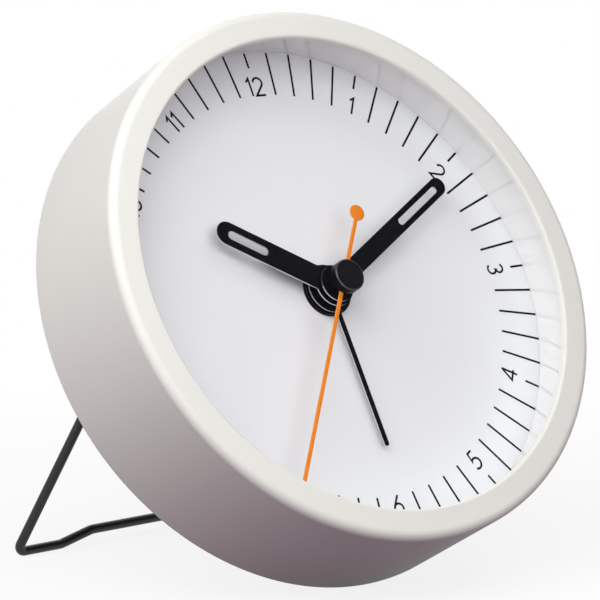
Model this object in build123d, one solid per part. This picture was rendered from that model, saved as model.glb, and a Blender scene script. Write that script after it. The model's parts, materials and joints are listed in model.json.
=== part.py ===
from build123d import *
import math
import os

# A round desk alarm clock on a folding wire stand, in millimetres.
# The pieces are drawn in the dial's own frame: X to 3 o'clock, Y to 12 o'clock, Z out of the dial towards
# the viewer, with the origin in the middle of the dial's front face. A depth is measured from that face
# into the clock, so it is minus Z. At the end the clock is leaned back and set on the floor.

# Fits
run_clearance = 0.05
fit_clearance = 0.1
loose_clearance = 0.2
overrun = 1.0

# Case, lens and dial
case_radius = 45.0
case_wall = 1.2
case_rear = 13.7
lip_width = 5.0
lip_thickness = 1.1
lip_edge_round = 0.5
front_edge_round = 1.4
rear_edge_round = 0.25
lens_thickness = 1.2
lens_gap = 0.4
ring_wall = 1.64
dial_thickness = 0.6
inside_radius = case_radius - case_wall
insert_radius = inside_radius - fit_clearance
lip_inner_radius = case_radius - lip_width
ring_inner_radius = insert_radius - ring_wall

# Coaxial tubes of the hands
seconds_arbor_radius = 0.5
minute_tube_radius = 1.1
hour_tube_radius = 1.75
alarm_tube_radius = 2.45
bush_radius = 3.4
nut_radius = 4.3
nut_thickness = 0.75

# Hands: heights above the dial are those of the underside, angles are clockwise from 12
hand_thickness = 0.4
hand_gap = 0.55
seconds_gap = 1.55
nut_gap = 0.2
collar_gap = 0.4
alarm_hand_length = 27.0
alarm_hand_width = 0.9
alarm_hub_radius = 4.0
alarm_hand_angle = 178.7
hour_hand_length = 22.3
hour_hand_width = 4.0
hour_hub_radius = 3.45
hour_collar_radius = 2.8
hour_collar_height = 0.55
hour_hand_angle = 302.5
hour_slot_length = 7.5
hour_slot_width = 1.5
minute_hand_length = 31.8
minute_hand_width = 3.1
minute_hub_radius = 3.05
minute_hand_angle = 62.5
minute_slot_length = 11.2
minute_slot_width = 1.2
slot_tip_margin = 2.15
seconds_hand_thickness = 0.3
seconds_tip_gap = 4.06
seconds_hand_width = 0.66
seconds_hub_radius = 1.7
seconds_pipe_radius = 1.7
pipe_gap = 0.15
seconds_hand_angle = 213.6
counterweight_distance = 12.75
counterweight_radius = 1.35
cap_radius = 2.7
cap_height = 1.65
cap_edge_round = 0.25
cap_bore_depth = 0.5
alarm_hand_height = nut_thickness + nut_gap
hour_hand_height = alarm_hand_height + hand_thickness + collar_gap + hour_collar_height
minute_hand_height = hour_hand_height + hand_thickness + hand_gap
seconds_hand_height = minute_hand_height + hand_thickness + seconds_gap
seconds_hand_top = seconds_hand_height + seconds_hand_thickness
seconds_hand_length = ring_inner_radius - seconds_tip_gap

# Lens and lip, in front of the hands
lens_rear = seconds_hand_top + cap_height + lens_gap
lens_front = lens_rear + lens_thickness
lip_front = lens_front + lip_thickness

# Movement levels
frame_thickness = 1.2
rear_plate_thickness = 1.2
wheel_thickness = 0.8
wheel_gap = 0.35
pinion_overlap = 0.2
pivot_inset = 0.3
frame_front = dial_thickness
frame_rear = frame_front + frame_thickness
alarm_wheel_front = frame_rear + wheel_gap
hour_wheel_front = alarm_wheel_front + wheel_thickness + wheel_gap
cannon_front = hour_wheel_front + wheel_thickness + wheel_gap
transfer_wheel_front = cannon_front + pinion_overlap
minute_wheel_front = transfer_wheel_front + wheel_thickness + wheel_gap + pinion_overlap
third_wheel_front = minute_wheel_front + wheel_thickness + wheel_gap + pinion_overlap
seconds_wheel_front = third_wheel_front + wheel_thickness + wheel_gap + pinion_overlap
intermediate_wheel_front = seconds_wheel_front + wheel_thickness + wheel_gap + pinion_overlap
rear_plate_front = intermediate_wheel_front + wheel_thickness + pinion_overlap + wheel_gap
rear_plate_rear = rear_plate_front + rear_plate_thickness

# Teeth, as shares of the module and of the angle from tooth to tooth
addendum_share = 0.8
dedendum_share = 1.15
tip_half_share = 0.09
root_half_share = 0.26

# Wheels: tooth counts, and the distances between their axes
rotor_pinion_teeth = 8
intermediate_wheel_teeth = 40
intermediate_pinion_teeth = 10
seconds_wheel_teeth = 60
seconds_pinion_teeth = 8
third_wheel_teeth = 64
third_pinion_teeth = 8
minute_wheel_teeth = 60
cannon_teeth = 10
transfer_wheel_teeth = 30
transfer_pinion_teeth = 10
hour_wheel_teeth = 40
time_set_teeth = 12
alarm_wheel_teeth = 48
alarm_set_teeth = 24
half_turn_angle = 180.0
third_distance = 9.0
transfer_distance = 8.0
intermediate_distance = 9.1
rotor_distance = 6.5
alarm_set_distance = 10.08
third_angle = 90.0
transfer_angle = 33.3
intermediate_angle = 150.0
rotor_angle = 120.0
alarm_set_angle = 200.0
time_set_angle = -69.7
arbor_radius = 0.4
transfer_post_radius = 0.6
magnet_radius = 1.6
magnet_length = 2.4
magnet_gap = 0.35

# Setting shafts and knobs
set_shaft_radius = 1.2
set_pivot_radius = 0.6
knob_radius = 4.5
knob_height = 3.4
knob_gap = 0.3
knob_bore_depth = 2.2
knob_edge_round = 0.4
knob_flutes = 18
knob_flute_radius = 0.45

# Stepping motor and electronics
stator_thickness = 0.8
stator_front = frame_rear + 2 * wheel_thickness + 2 * wheel_gap
stator_bar_width = 3.0
stator_eye_radius = 3.2
stator_left = -21.0
stator_right = -2.4
stator_arm_width = 2.6
coil_height = 20.8
core_width = 2.0
core_thickness = 0.8
bobbin_tube_radius = 1.5
bobbin_flange_radius = 3.2
bobbin_flange_thickness = 0.6
winding_radius = 2.8
board_width = 12.5
board_height = 12.0
board_thickness = 1.0
board_across = -20.75
board_up = -2.0
board_lift = 1.2
board_foot_radius = 1.2
board_foot_shares = ((-0.3, 0.3), (0.3, -0.3))
chip_radius = 2.2
chip_height = 0.9
chip_share = (-0.2, -0.2)
crystal_radius = 1.0
crystal_length = 6.0
crystal_share = (0.05, 0.32)
buzzer_radius = 7.5
buzzer_height = 3.0
buzzer_across = 19.5
buzzer_up = 12.0
buzzer_port_radius = 1.5
buzzer_port_depth = 1.0
buzzer_centre = (buzzer_across, buzzer_up)

# Frame, rear plate and their screws
frame_margin = 2.1
pillar_radius = 1.6
upper_pillar_across = 24.0
upper_pillar_up = 21.0
lower_pillar_across = 13.5
lower_pillar_up = -10.5
plate_margin = 2.0
movement_screw_radius = 0.8
movement_screw_length = 6.0
movement_screw_head_radius = 1.5
movement_screw_head_height = 0.9
screw_slot_width = 0.4
screw_slot_depth = 0.35

# Back cover
cover_wall = 1.5
cover_rim_wall = 1.6
cover_recess = 0.4
hump_setback = 5.5
hump_edge_round = 1.6
switch_space = 3.2
cover_inner = rear_plate_rear + switch_space
cover_rear = cover_inner + cover_wall
flange_rear = case_rear - cover_recess
flange_front = flange_rear - cover_wall
hump_radius = case_radius - hump_setback
hump_inner_radius = hump_radius - cover_wall
frame_radius = insert_radius - cover_rim_wall - frame_margin
cover_post_radius = 2.2
cover_post_gap = 4.8
cover_post_angles = (90.0, 11.3, 168.7)
cover_post_distance = hump_inner_radius - cover_post_gap - cover_post_radius
cover_screw_radius = 1.0
cover_screw_length = 8.0
cover_screw_head_radius = 2.1
cover_screw_head_height = 0.9
sound_hole_radius = 0.8
sound_hole_count = 6
sound_ring_radius = 3.6

# Battery (AAA), its tray, contacts and door
battery_radius = 5.25
battery_length = 44.5
battery_nub_radius = 1.9
battery_nub_length = 0.8
battery_height = -19.2
tray_wall = 1.0
tray_side_clearance = 0.25
tray_end_clearance = 1.7
tray_gap = 0.8
saddle_place = 12.0
saddle_thickness = 1.2
saddle_rise_share = 0.55
contact_thickness = 0.4
contact_size = 7.0
contact_touch_gap = 0.05
contact_button_radius = 1.6
door_margin = 1.5
door_thickness = 1.2
door_ledge = 1.2
door_corner = 1.0
door_grip_width = 12.0
door_grip_height = 1.6
door_grip_depth = 0.5
door_open_angle = 90.0
battery_depth = cover_inner - door_ledge - tray_side_clearance - battery_radius - loose_clearance
tray_rear = cover_inner - door_ledge - tray_gap
tray_half_length = battery_length / 2 + tray_end_clearance
tray_half_height = battery_radius + tray_side_clearance
door_half_length = battery_length / 2 + door_margin
door_half_height = battery_radius + door_margin
door_hinge_radius = door_thickness / 2
door_hinge_height = battery_height - door_half_height + door_hinge_radius
door_hinge_depth = cover_rear - door_hinge_radius

# Alarm switch
switch_height = 13.0
switch_travel = 3.0
switch_stem_length = 3.0
switch_stem_width = 2.2
switch_flange_margin = 1.2
switch_flange_thickness = 0.8
switch_flange_gap = 0.1
switch_knob_length = 4.6
switch_knob_width = 4.4
switch_knob_height = 1.3
switch_rib_count = 3
switch_rib_depth = 0.3
switch_rib_width = 0.4
switch_contact_gap = 0.3
leaf_thickness = 0.3
leaf_width = 2.4
leaf_foot = 4.0
leaf_run = 5.0

# Wire stand, its lugs and stops
opening_angle = 44.254
wire_radius = 0.8
pivot_standoff = 1.3
pivot_height = 20.6
pivot_half_span = 9.8
foot_half_span = 33.0
leg_reach = 55.4
foot_flat = 8.8
jog_run = 6.0
jog_rise = 1.7
wire_tail_end = 4.7
wire_pivot_bend = 2.0
wire_foot_bend = 1.0
wire_jog_bend = 4.0
lug_inner = 4.4
lug_outer = 7.6
lug_radius = 1.7
stop_inner = 10.7
stop_outer = 13.1
stop_reach = 5.0
stop_tip = 1.6
stop_base = 6.5
pivot_depth = cover_rear + pivot_standoff

BASE = (Align.CENTER, Align.CENTER, Align.MIN)


def polar(origin, distance, direction):
    """The point at a distance and direction from another, counter-clockwise from 3 o'clock."""
    angle = math.radians(direction)
    return (origin[0] + distance * math.cos(angle), origin[1] + distance * math.sin(angle))


centre = (0.0, 0.0)
third_axis = polar(centre, third_distance, third_angle)
transfer_axis = polar(centre, transfer_distance, transfer_angle)
intermediate_axis = polar(centre, intermediate_distance, intermediate_angle)
rotor_axis = polar(intermediate_axis, rotor_distance, rotor_angle)
alarm_set_axis = polar(centre, alarm_set_distance, alarm_set_angle)
cannon_module = 2 * transfer_distance / (cannon_teeth + transfer_wheel_teeth)
time_set_distance = cannon_module * (transfer_wheel_teeth + time_set_teeth) / 2
time_set_axis = polar(transfer_axis, time_set_distance, time_set_angle)
cover_post_places = [polar(centre, cover_post_distance, angle) for angle in cover_post_angles]


def disc(radius, front, rear, at=centre):
    """A round piece along the dial's axis between two depths."""
    return Pos(at[0], at[1], -rear) * Cylinder(radius, rear - front, align=BASE)


def tube(outer, inner, front, rear, at=centre):
    return disc(outer, front, rear, at) - disc(inner, front - overrun, rear + overrun, at)


def plate(face, front, rear):
    """A flat piece: a face in the dial's plane, thickened between two depths."""
    return Pos(0, 0, -rear) * extrude(face, amount=rear - front, dir=(0, 0, 1))


def slab(length, height, front, rear, at=centre):
    return plate(Pos(at[0], at[1]) * Rectangle(length, height), front, rear)


def bar_along_x(radius, start, end, height, depth):
    return Pos(start, height, -depth) * Rot(0, 90, 0) * Cylinder(radius, end - start, align=BASE)


def gear(teeth, module, front, rear, at=centre, phase=0.0):
    """A spur wheel with straight-flanked teeth, one of them centred on the phase angle."""
    pitch = 360 / teeth
    tip = module * (teeth / 2 + addendum_share)
    root = module * (teeth / 2 - dedendum_share)
    tooth = ((-root_half_share, root), (-tip_half_share, tip), (tip_half_share, tip), (root_half_share, root))
    points = []
    for number in range(teeth):
        for share, radius in tooth:
            points.append(polar(at, radius, phase + pitch * (number + share)))
    return plate(Polygon(*points, align=None), front, rear)


def meshed_phase(teeth, phase, other_teeth, direction):
    """The phase of a wheel whose gap takes the tooth of a first wheel, which lies against the direction."""
    half_pitch = half_turn_angle / other_teeth
    return direction + half_turn_angle - teeth / other_teeth * (phase - direction) - half_pitch


def module_of(distance, teeth, other_teeth):
    return 2 * distance / (teeth + other_teeth)


third_pinion_module = module_of(third_distance, minute_wheel_teeth, third_pinion_teeth)
third_wheel_module = module_of(third_distance, third_wheel_teeth, seconds_pinion_teeth)
hour_module = module_of(transfer_distance, hour_wheel_teeth, transfer_pinion_teeth)
seconds_module = module_of(intermediate_distance, seconds_wheel_teeth, intermediate_pinion_teeth)
rotor_module = module_of(rotor_distance, intermediate_wheel_teeth, rotor_pinion_teeth)
alarm_module = module_of(alarm_set_distance, alarm_wheel_teeth, alarm_set_teeth)

third_pinion_phase = meshed_phase(minute_wheel_teeth, 0, third_pinion_teeth, third_angle)
seconds_pinion_phase = meshed_phase(third_wheel_teeth, 0, seconds_pinion_teeth, third_angle + half_turn_angle)
intermediate_pinion_phase = meshed_phase(
    seconds_wheel_teeth, 0, intermediate_pinion_teeth, intermediate_angle
)
rotor_pinion_phase = meshed_phase(intermediate_wheel_teeth, 0, rotor_pinion_teeth, rotor_angle)
transfer_wheel_phase = meshed_phase(cannon_teeth, 0, transfer_wheel_teeth, transfer_angle)
hour_wheel_phase = meshed_phase(transfer_pinion_teeth, 0, hour_wheel_teeth, transfer_angle + half_turn_angle)
time_set_phase = meshed_phase(
    transfer_wheel_teeth, transfer_wheel_phase, time_set_teeth, time_set_angle
)
alarm_set_phase = meshed_phase(alarm_wheel_teeth, 0, alarm_set_teeth, alarm_set_angle)


def case_shell():
    body = disc(case_radius, -lip_front, case_rear)
    front_edges = body.edges().group_by(Axis.Z)[-1]
    body = fillet(front_edges, front_edge_round)
    body -= disc(inside_radius, -lens_front, case_rear + overrun)
    body -= disc(lip_inner_radius, -lip_front - overrun, -lens_front + overrun)
    lip_edges = body.edges().filter_by(GeomType.CIRCLE).filter_by(
        lambda edge: abs(edge.radius - lip_inner_radius) < fit_clearance
    )
    body = fillet(lip_edges.sort_by(Axis.Z)[-1], lip_edge_round)
    rear_edges = body.edges().group_by(Axis.Z)[0]
    return fillet(rear_edges, rear_edge_round)


def lens():
    return disc(insert_radius, -lens_front, -lens_rear)


def inner_ring():
    return tube(insert_radius, ring_inner_radius, -lens_rear, 0)


def dial():
    return tube(insert_radius, bush_radius + fit_clearance, 0, dial_thickness)


def bush_nut():
    return tube(nut_radius, bush_radius, -nut_thickness, 0)


def aimed(shape, angle):
    """A hand drawn towards 12, turned clockwise to its angle."""
    return Rot(0, 0, -angle) * shape


def hand_bar(width, start, end):
    """A straight bar with round ends, pointing to 12. The ends are those of the round."""
    return Pos(0, (start + end) / 2) * Rot(0, 0, 90) * SlotOverall(end - start, width)


def alarm_hand():
    top = alarm_hand_height + hand_thickness
    outline = Circle(alarm_hub_radius) + hand_bar(alarm_hand_width, 0, alarm_hand_length)
    outline -= Circle(alarm_tube_radius)
    return aimed(plate(outline, -top, -alarm_hand_height), alarm_hand_angle)


def hour_hand():
    top = hour_hand_height + hand_thickness
    outline = Circle(hour_hub_radius) + hand_bar(hour_hand_width, 0, hour_hand_length)
    slot_end = hour_hand_length - slot_tip_margin
    outline -= hand_bar(hour_slot_width, slot_end - hour_slot_length, slot_end)
    outline -= Circle(hour_tube_radius)
    collar_bottom = hour_hand_height - hour_collar_height
    collar = tube(hour_collar_radius, hour_tube_radius, -hour_hand_height, -collar_bottom)
    return aimed(plate(outline, -top, -hour_hand_height) + collar, hour_hand_angle)


def minute_hand():
    top = minute_hand_height + hand_thickness
    outline = Circle(minute_hub_radius) + hand_bar(minute_hand_width, 0, minute_hand_length)
    slot_end = minute_hand_length - slot_tip_margin
    outline -= hand_bar(minute_slot_width, slot_end - minute_slot_length, slot_end)
    outline -= Circle(minute_tube_radius)
    return aimed(plate(outline, -top, -minute_hand_height), minute_hand_angle)


def seconds_hand():
    top = seconds_hand_height + seconds_hand_thickness
    outline = Circle(seconds_hub_radius)
    outline += hand_bar(seconds_hand_width, -counterweight_distance, seconds_hand_length)
    outline += Pos(0, -counterweight_distance) * Circle(counterweight_radius)
    outline -= Circle(seconds_arbor_radius)
    return aimed(plate(outline, -top, -seconds_hand_height), seconds_hand_angle)


def seconds_pipe():
    """The pipe that carries the seconds hand on its arbor, clear of the minute hand."""
    bottom = minute_hand_height + hand_thickness + pipe_gap
    return tube(seconds_pipe_radius, seconds_arbor_radius, -seconds_hand_height, -bottom)


def seconds_cap():
    top = seconds_hand_top + cap_height
    cap = disc(cap_radius, -top, -seconds_hand_top)
    cap = fillet(cap.edges().group_by(Axis.Z)[-1], cap_edge_round)
    return cap - disc(seconds_arbor_radius, -seconds_hand_top - cap_bore_depth, -seconds_hand_top + overrun)


def hand_tube(radius, hole, hand_height, wheel_front):
    """The tube that carries a hand, from its wheel's front face to the top of the hand."""
    return tube(radius, hole, -hand_height - hand_thickness, wheel_front)


def alarm_wheel():
    hole = hour_tube_radius + run_clearance
    rear = alarm_wheel_front + wheel_thickness
    wheel = gear(alarm_wheel_teeth, alarm_module, alarm_wheel_front, rear)
    wheel -= disc(hole, alarm_wheel_front - overrun, rear + overrun)
    return wheel + hand_tube(alarm_tube_radius, hole, alarm_hand_height, alarm_wheel_front)


def hour_wheel():
    hole = minute_tube_radius + run_clearance
    rear = hour_wheel_front + wheel_thickness
    wheel = gear(hour_wheel_teeth, hour_module, hour_wheel_front, rear, phase=hour_wheel_phase)
    wheel -= disc(hole, hour_wheel_front - overrun, rear + overrun)
    return wheel + hand_tube(hour_tube_radius, hole, hour_hand_height, hour_wheel_front)


def minute_wheel():
    """The centre wheel, with the cannon pinion and the tube of the minute hand on its front."""
    hole = seconds_arbor_radius + run_clearance
    rear = minute_wheel_front + wheel_thickness
    wheel = gear(minute_wheel_teeth, third_pinion_module, minute_wheel_front, rear)
    wheel += gear(cannon_teeth, cannon_module, cannon_front, minute_wheel_front)
    wheel -= disc(hole, cannon_front - overrun, rear + overrun)
    return wheel + hand_tube(minute_tube_radius, hole, minute_hand_height, cannon_front)


def arbor(at, front=frame_front + pivot_inset, rear=rear_plate_rear - pivot_inset, radius=arbor_radius):
    return disc(radius, front, rear, at)


def seconds_wheel():
    pinion_front = third_wheel_front - pinion_overlap
    rear = seconds_wheel_front + wheel_thickness
    wheel = gear(seconds_wheel_teeth, seconds_module, seconds_wheel_front, rear)
    wheel += gear(
        seconds_pinion_teeth,
        third_wheel_module,
        pinion_front,
        seconds_wheel_front,
        phase=seconds_pinion_phase,
    )
    front = -seconds_hand_top - cap_bore_depth
    return wheel + arbor(centre, front=front, radius=seconds_arbor_radius)


def third_wheel():
    rear = third_wheel_front + wheel_thickness
    wheel = gear(third_wheel_teeth, third_wheel_module, third_wheel_front, rear, third_axis)
    wheel += gear(
        third_pinion_teeth,
        third_pinion_module,
        minute_wheel_front - pinion_overlap,
        third_wheel_front,
        third_axis,
        third_pinion_phase,
    )
    return wheel + arbor(third_axis)


def intermediate_wheel():
    rear = intermediate_wheel_front + wheel_thickness
    wheel = gear(intermediate_wheel_teeth, rotor_module, intermediate_wheel_front, rear, intermediate_axis)
    wheel += gear(
        intermediate_pinion_teeth,
        seconds_module,
        seconds_wheel_front - pinion_overlap,
        intermediate_wheel_front,
        intermediate_axis,
        intermediate_pinion_phase,
    )
    return wheel + arbor(intermediate_axis)


magnet_front = stator_front + stator_thickness / 2 - magnet_length / 2


def rotor():
    """The stepping motor's rotor: a magnet level with the stator and a pinion behind it."""
    front = intermediate_wheel_front - pinion_overlap
    rear = intermediate_wheel_front + wheel_thickness + pinion_overlap
    pinion = gear(rotor_pinion_teeth, rotor_module, front, rear, rotor_axis, rotor_pinion_phase)
    magnet = disc(magnet_radius, magnet_front, magnet_front + magnet_length, rotor_axis)
    return pinion + magnet + arbor(rotor_axis)


transfer_wheel_rear = transfer_wheel_front + wheel_thickness
transfer_front = hour_wheel_front - pinion_overlap


def transfer_wheel():
    """The minute-to-hour wheel and pinion, which turn on a fixed post."""
    wheel = gear(
        transfer_wheel_teeth,
        cannon_module,
        transfer_wheel_front,
        transfer_wheel_rear,
        transfer_axis,
        transfer_wheel_phase,
    )
    wheel += gear(transfer_pinion_teeth, hour_module, transfer_front, transfer_wheel_front, transfer_axis)
    hole = transfer_post_radius + run_clearance
    return wheel - disc(hole, transfer_front - overrun, transfer_wheel_rear + overrun, transfer_axis)


knob_front = cover_rear + knob_gap
knob_rear = knob_front + knob_height
alarm_pinion_front = alarm_wheel_front - pinion_overlap / 2
alarm_pinion_rear = alarm_wheel_front + wheel_thickness + pinion_overlap / 2
time_pinion_front = transfer_wheel_front - pinion_overlap / 2
time_pinion_rear = transfer_wheel_rear + pinion_overlap / 2


def set_shaft(axis, teeth, module, phase, pinion_front, pinion_rear):
    """A setting shaft: thin front pivot, pinion, and a stem that runs out through the back."""
    shaft = gear(teeth, module, pinion_front, pinion_rear, axis, phase)
    shaft += disc(set_pivot_radius, frame_front + pivot_inset, pinion_front, axis)
    return shaft + disc(set_shaft_radius, pinion_rear, knob_front + knob_bore_depth, axis)


def alarm_set_shaft():
    return set_shaft(
        alarm_set_axis, alarm_set_teeth, alarm_module, alarm_set_phase, alarm_pinion_front, alarm_pinion_rear
    )


def time_set_shaft():
    return set_shaft(
        time_set_axis, time_set_teeth, cannon_module, time_set_phase, time_pinion_front, time_pinion_rear
    )


def set_knob(axis):
    knob = disc(knob_radius, knob_front, knob_rear)
    knob = fillet(knob.edges().group_by(Axis.Z)[0], knob_edge_round)
    for number in range(knob_flutes):
        place = polar(centre, knob_radius, 360 / knob_flutes * number)
        knob -= disc(knob_flute_radius, knob_front - overrun, knob_rear + overrun, place)
    knob -= disc(set_shaft_radius, knob_front - overrun, knob_front + knob_bore_depth)
    return Pos(axis[0], axis[1]) * knob


def pillar_places():
    upper = [(side * upper_pillar_across, upper_pillar_up) for side in (-1, 1)]
    return upper + [(side * lower_pillar_across, lower_pillar_up) for side in (-1, 1)]


def tray_box(margin, front, rear):
    length = 2 * (tray_half_length + margin)
    height = 2 * (tray_half_height + margin)
    return slab(length, height, front, rear, (0, battery_height))


def battery_saddle(side):
    saddle_rear = battery_depth - battery_radius + battery_radius * saddle_rise_share
    place = (side * saddle_place, battery_height)
    rib = slab(saddle_thickness, 2 * tray_half_height, frame_rear, saddle_rear, place)
    cell = battery_radius + run_clearance
    return rib - bar_along_x(cell, -battery_length / 2, battery_length / 2, battery_height, battery_depth)


def movement_frame():
    """Front plate with the centre bush, the pillars and posts, the battery tray and the seats."""
    frame = disc(frame_radius, frame_front, frame_rear)
    frame += disc(bush_radius, -nut_thickness, frame_front + run_clearance)
    frame += tray_box(tray_wall, frame_rear - run_clearance, tray_rear)
    frame -= tray_box(0, frame_rear, tray_rear + overrun)
    for side in (-1, 1):
        frame += battery_saddle(side)
    for place in pillar_places():
        frame += disc(pillar_radius, frame_front, rear_plate_front, place)
        frame -= disc(movement_screw_radius, rear_plate_rear - movement_screw_length, cover_inner, place)
    for place in cover_post_places:
        frame += disc(cover_post_radius, frame_front, cover_inner, place)
        frame -= disc(cover_screw_radius, cover_screw_tip, cover_rear, place)
    for share in board_foot_shares:
        frame += disc(board_foot_radius, frame_front, board_front, on_board(share))
    frame += disc(transfer_post_radius, frame_front, transfer_wheel_rear + wheel_gap / 2, transfer_axis)
    frame += coil_seats()
    frame -= disc(alarm_tube_radius + run_clearance, -nut_thickness - overrun, frame_rear + overrun)
    for axis in (third_axis, intermediate_axis, rotor_axis):
        frame -= disc(arbor_radius + run_clearance, frame_front - overrun, frame_rear + overrun, axis)
    for axis in (alarm_set_axis, time_set_axis):
        frame -= disc(set_pivot_radius + run_clearance, frame_front - overrun, frame_rear + overrun, axis)
    return frame


def rear_plate():
    upper_left, upper_right, lower_left, lower_right = pillar_places()
    corners = [upper_left, upper_right, lower_right, lower_left]
    body = plate(offset(Polygon(*corners, align=None), plate_margin), rear_plate_front, rear_plate_rear)
    holes = [(place, movement_screw_radius) for place in pillar_places()]
    holes += [(axis, arbor_radius + run_clearance) for axis in (third_axis, intermediate_axis, rotor_axis)]
    holes += [(axis, set_shaft_radius + run_clearance) for axis in (alarm_set_axis, time_set_axis)]
    holes.append((centre, seconds_arbor_radius + run_clearance))
    for place, radius in holes:
        body -= disc(radius, rear_plate_front - overrun, rear_plate_rear + overrun, place)
    return body


def slotted_screw(shank_radius, tip, seat, head_radius, head_height, place):
    """A screw from its tip to the seat of its head, and the slotted head behind that."""
    head_rear = seat + head_height
    screw = disc(shank_radius, tip, seat, place) + disc(head_radius, seat, head_rear, place)
    slot_front = head_rear - screw_slot_depth
    return screw - slab(2 * head_radius + overrun, screw_slot_width, slot_front, head_rear + overrun, place)


def movement_screws():
    tip = rear_plate_rear - movement_screw_length
    return Compound(
        children=[
            slotted_screw(
                movement_screw_radius,
                tip,
                rear_plate_rear,
                movement_screw_head_radius,
                movement_screw_head_height,
                place,
            )
            for place in pillar_places()
        ]
    )


cover_screw_seat = cover_rear - cover_screw_head_height
cover_screw_tip = cover_screw_seat - cover_screw_length


def cover_screws():
    return Compound(
        children=[
            slotted_screw(
                cover_screw_radius,
                cover_screw_tip,
                cover_screw_seat,
                cover_screw_head_radius,
                cover_screw_head_height,
                place,
            )
            for place in cover_post_places
        ]
    )


core_front = stator_front + stator_thickness
core_rear = core_front + core_thickness
coil_depth = (core_front + core_rear) / 2
stator_middle = (stator_left + stator_right) / 2
stator_length = stator_right - stator_left
coil_left = stator_left + stator_arm_width + loose_clearance
coil_right = stator_right - stator_arm_width - loose_clearance


def stator():
    """A flat iron U: a bar with the rotor's eye in it, and two arms up to the coil's core."""
    bar_height = rotor_axis[1]
    top = coil_height + core_width / 2
    outline = Pos(stator_middle, bar_height) * Rectangle(stator_length, stator_bar_width)
    for arm in (stator_left + stator_arm_width / 2, stator_right - stator_arm_width / 2):
        arm_length = top - bar_height
        outline += Pos(arm, bar_height + arm_length / 2) * Rectangle(stator_arm_width, arm_length)
    outline += Pos(*rotor_axis) * Circle(stator_eye_radius)
    outline -= Pos(*rotor_axis) * Circle(magnet_radius + magnet_gap)
    return plate(outline, stator_front, core_front)


def coil_core():
    return slab(stator_length, core_width, core_front, core_rear, (stator_middle, coil_height))


def coil_bobbin():
    flange = bobbin_flange_thickness
    bobbin = bar_along_x(bobbin_tube_radius, coil_left, coil_right, coil_height, coil_depth)
    for start in (coil_left, coil_right - flange):
        bobbin += bar_along_x(bobbin_flange_radius, start, start + flange, coil_height, coil_depth)
    hole = slab(
        stator_length,
        core_width + 2 * run_clearance,
        core_front - run_clearance,
        core_rear + run_clearance,
        (stator_middle, coil_height),
    )
    return bobbin - hole


def coil_winding():
    start = coil_left + bobbin_flange_thickness
    end = coil_right - bobbin_flange_thickness
    winding = bar_along_x(winding_radius, start, end, coil_height, coil_depth)
    return winding - bar_along_x(bobbin_tube_radius, start, end, coil_height, coil_depth)


def coil_seats():
    """Two blocks on the front plate that carry the stator's arms."""
    seats = []
    for arm in (stator_left + stator_arm_width / 2, stator_right - stator_arm_width / 2):
        place = (arm, coil_height)
        seats.append(slab(stator_arm_width, core_width, frame_front, stator_front, place))
    return seats


board_front = frame_rear + board_lift
board_rear = board_front + board_thickness


def on_board(share):
    return (board_across + share[0] * board_width, board_up + share[1] * board_height)


def circuit_board():
    return slab(board_width, board_height, board_front, board_rear, (board_across, board_up))


def chip_cover():
    """The drop of resin over the chip."""
    drop = disc(chip_radius, board_rear, board_rear + chip_height, on_board(chip_share))
    return chamfer(drop.edges().group_by(Axis.Z)[0], chip_height / 2)


def quartz_crystal():
    place = on_board(crystal_share)
    start = place[0] - crystal_length / 2
    return bar_along_x(crystal_radius, start, start + crystal_length, place[1], board_rear + crystal_radius)


def buzzer():
    rear = frame_rear + buzzer_height
    body = disc(buzzer_radius, frame_rear, rear, buzzer_centre)
    return body - disc(buzzer_port_radius, rear - buzzer_port_depth, rear + overrun, buzzer_centre)


def battery():
    half = battery_length / 2
    cell = bar_along_x(battery_radius, -half, half - battery_nub_length, battery_height, battery_depth)
    nub_start = half - battery_nub_length
    return cell + bar_along_x(battery_nub_radius, nub_start, half, battery_height, battery_depth)


def contact_plate(side):
    end = tray_half_length * side
    back = end - contact_thickness * side
    middle = Pos((end + back) / 2, battery_height, -battery_depth)
    return middle * Box(contact_thickness, contact_size, contact_size)


def positive_contact():
    start = battery_length / 2 + contact_touch_gap
    button = bar_along_x(
        contact_button_radius, start, tray_half_length - contact_thickness, battery_height, battery_depth
    )
    return contact_plate(1) + button


def negative_contact():
    """A sprung leaf: a plate on the end wall and a bow that presses on the cell."""
    wall = -tray_half_length + contact_thickness
    tip = -battery_length / 2 - contact_touch_gap
    half = contact_size / 2
    outline = make_face(
        Polyline(
            (wall, -half),
            (tip, 0),
            (wall, half),
            (wall, half - contact_thickness),
            (tip - contact_thickness, 0),
            (wall, contact_thickness - half),
            close=True,
        )
    )
    width = contact_size / 2
    leaf = plate(Pos(0, battery_height) * outline, battery_depth - width / 2, battery_depth + width / 2)
    return contact_plate(-1) + leaf


def door_outline(margin):
    face = RectangleRounded(2 * (door_half_length + margin), 2 * (door_half_height + margin), door_corner)
    return Pos(0, battery_height) * face


def battery_door():
    """A plate with a grip at its top, and a round lower edge, shorter than the plate, that it tilts about."""
    hinge_end = door_half_length - door_corner
    foot_height = door_hinge_radius + fit_clearance
    foot_top = door_hinge_height + foot_height
    below_foot = Rectangle(2 * door_half_length + overrun, 2 * door_half_height)
    outline = door_outline(0) - Pos(0, foot_top - door_half_height) * below_foot
    outline += Pos(0, foot_top - foot_height / 2) * Rectangle(2 * hinge_end, foot_height)
    door = plate(outline, cover_rear - door_thickness, cover_rear)
    door += bar_along_x(door_hinge_radius, -hinge_end, hinge_end, door_hinge_height, door_hinge_depth)
    place = (0, battery_height + door_half_height - door_grip_height)
    grip_floor = cover_rear - door_grip_depth
    return door - slab(door_grip_width, door_grip_height, grip_floor, cover_rear + overrun, place)


def switch_slot_length():
    return switch_stem_length + switch_travel + 2 * loose_clearance


switch_rest = -switch_travel / 2


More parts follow.
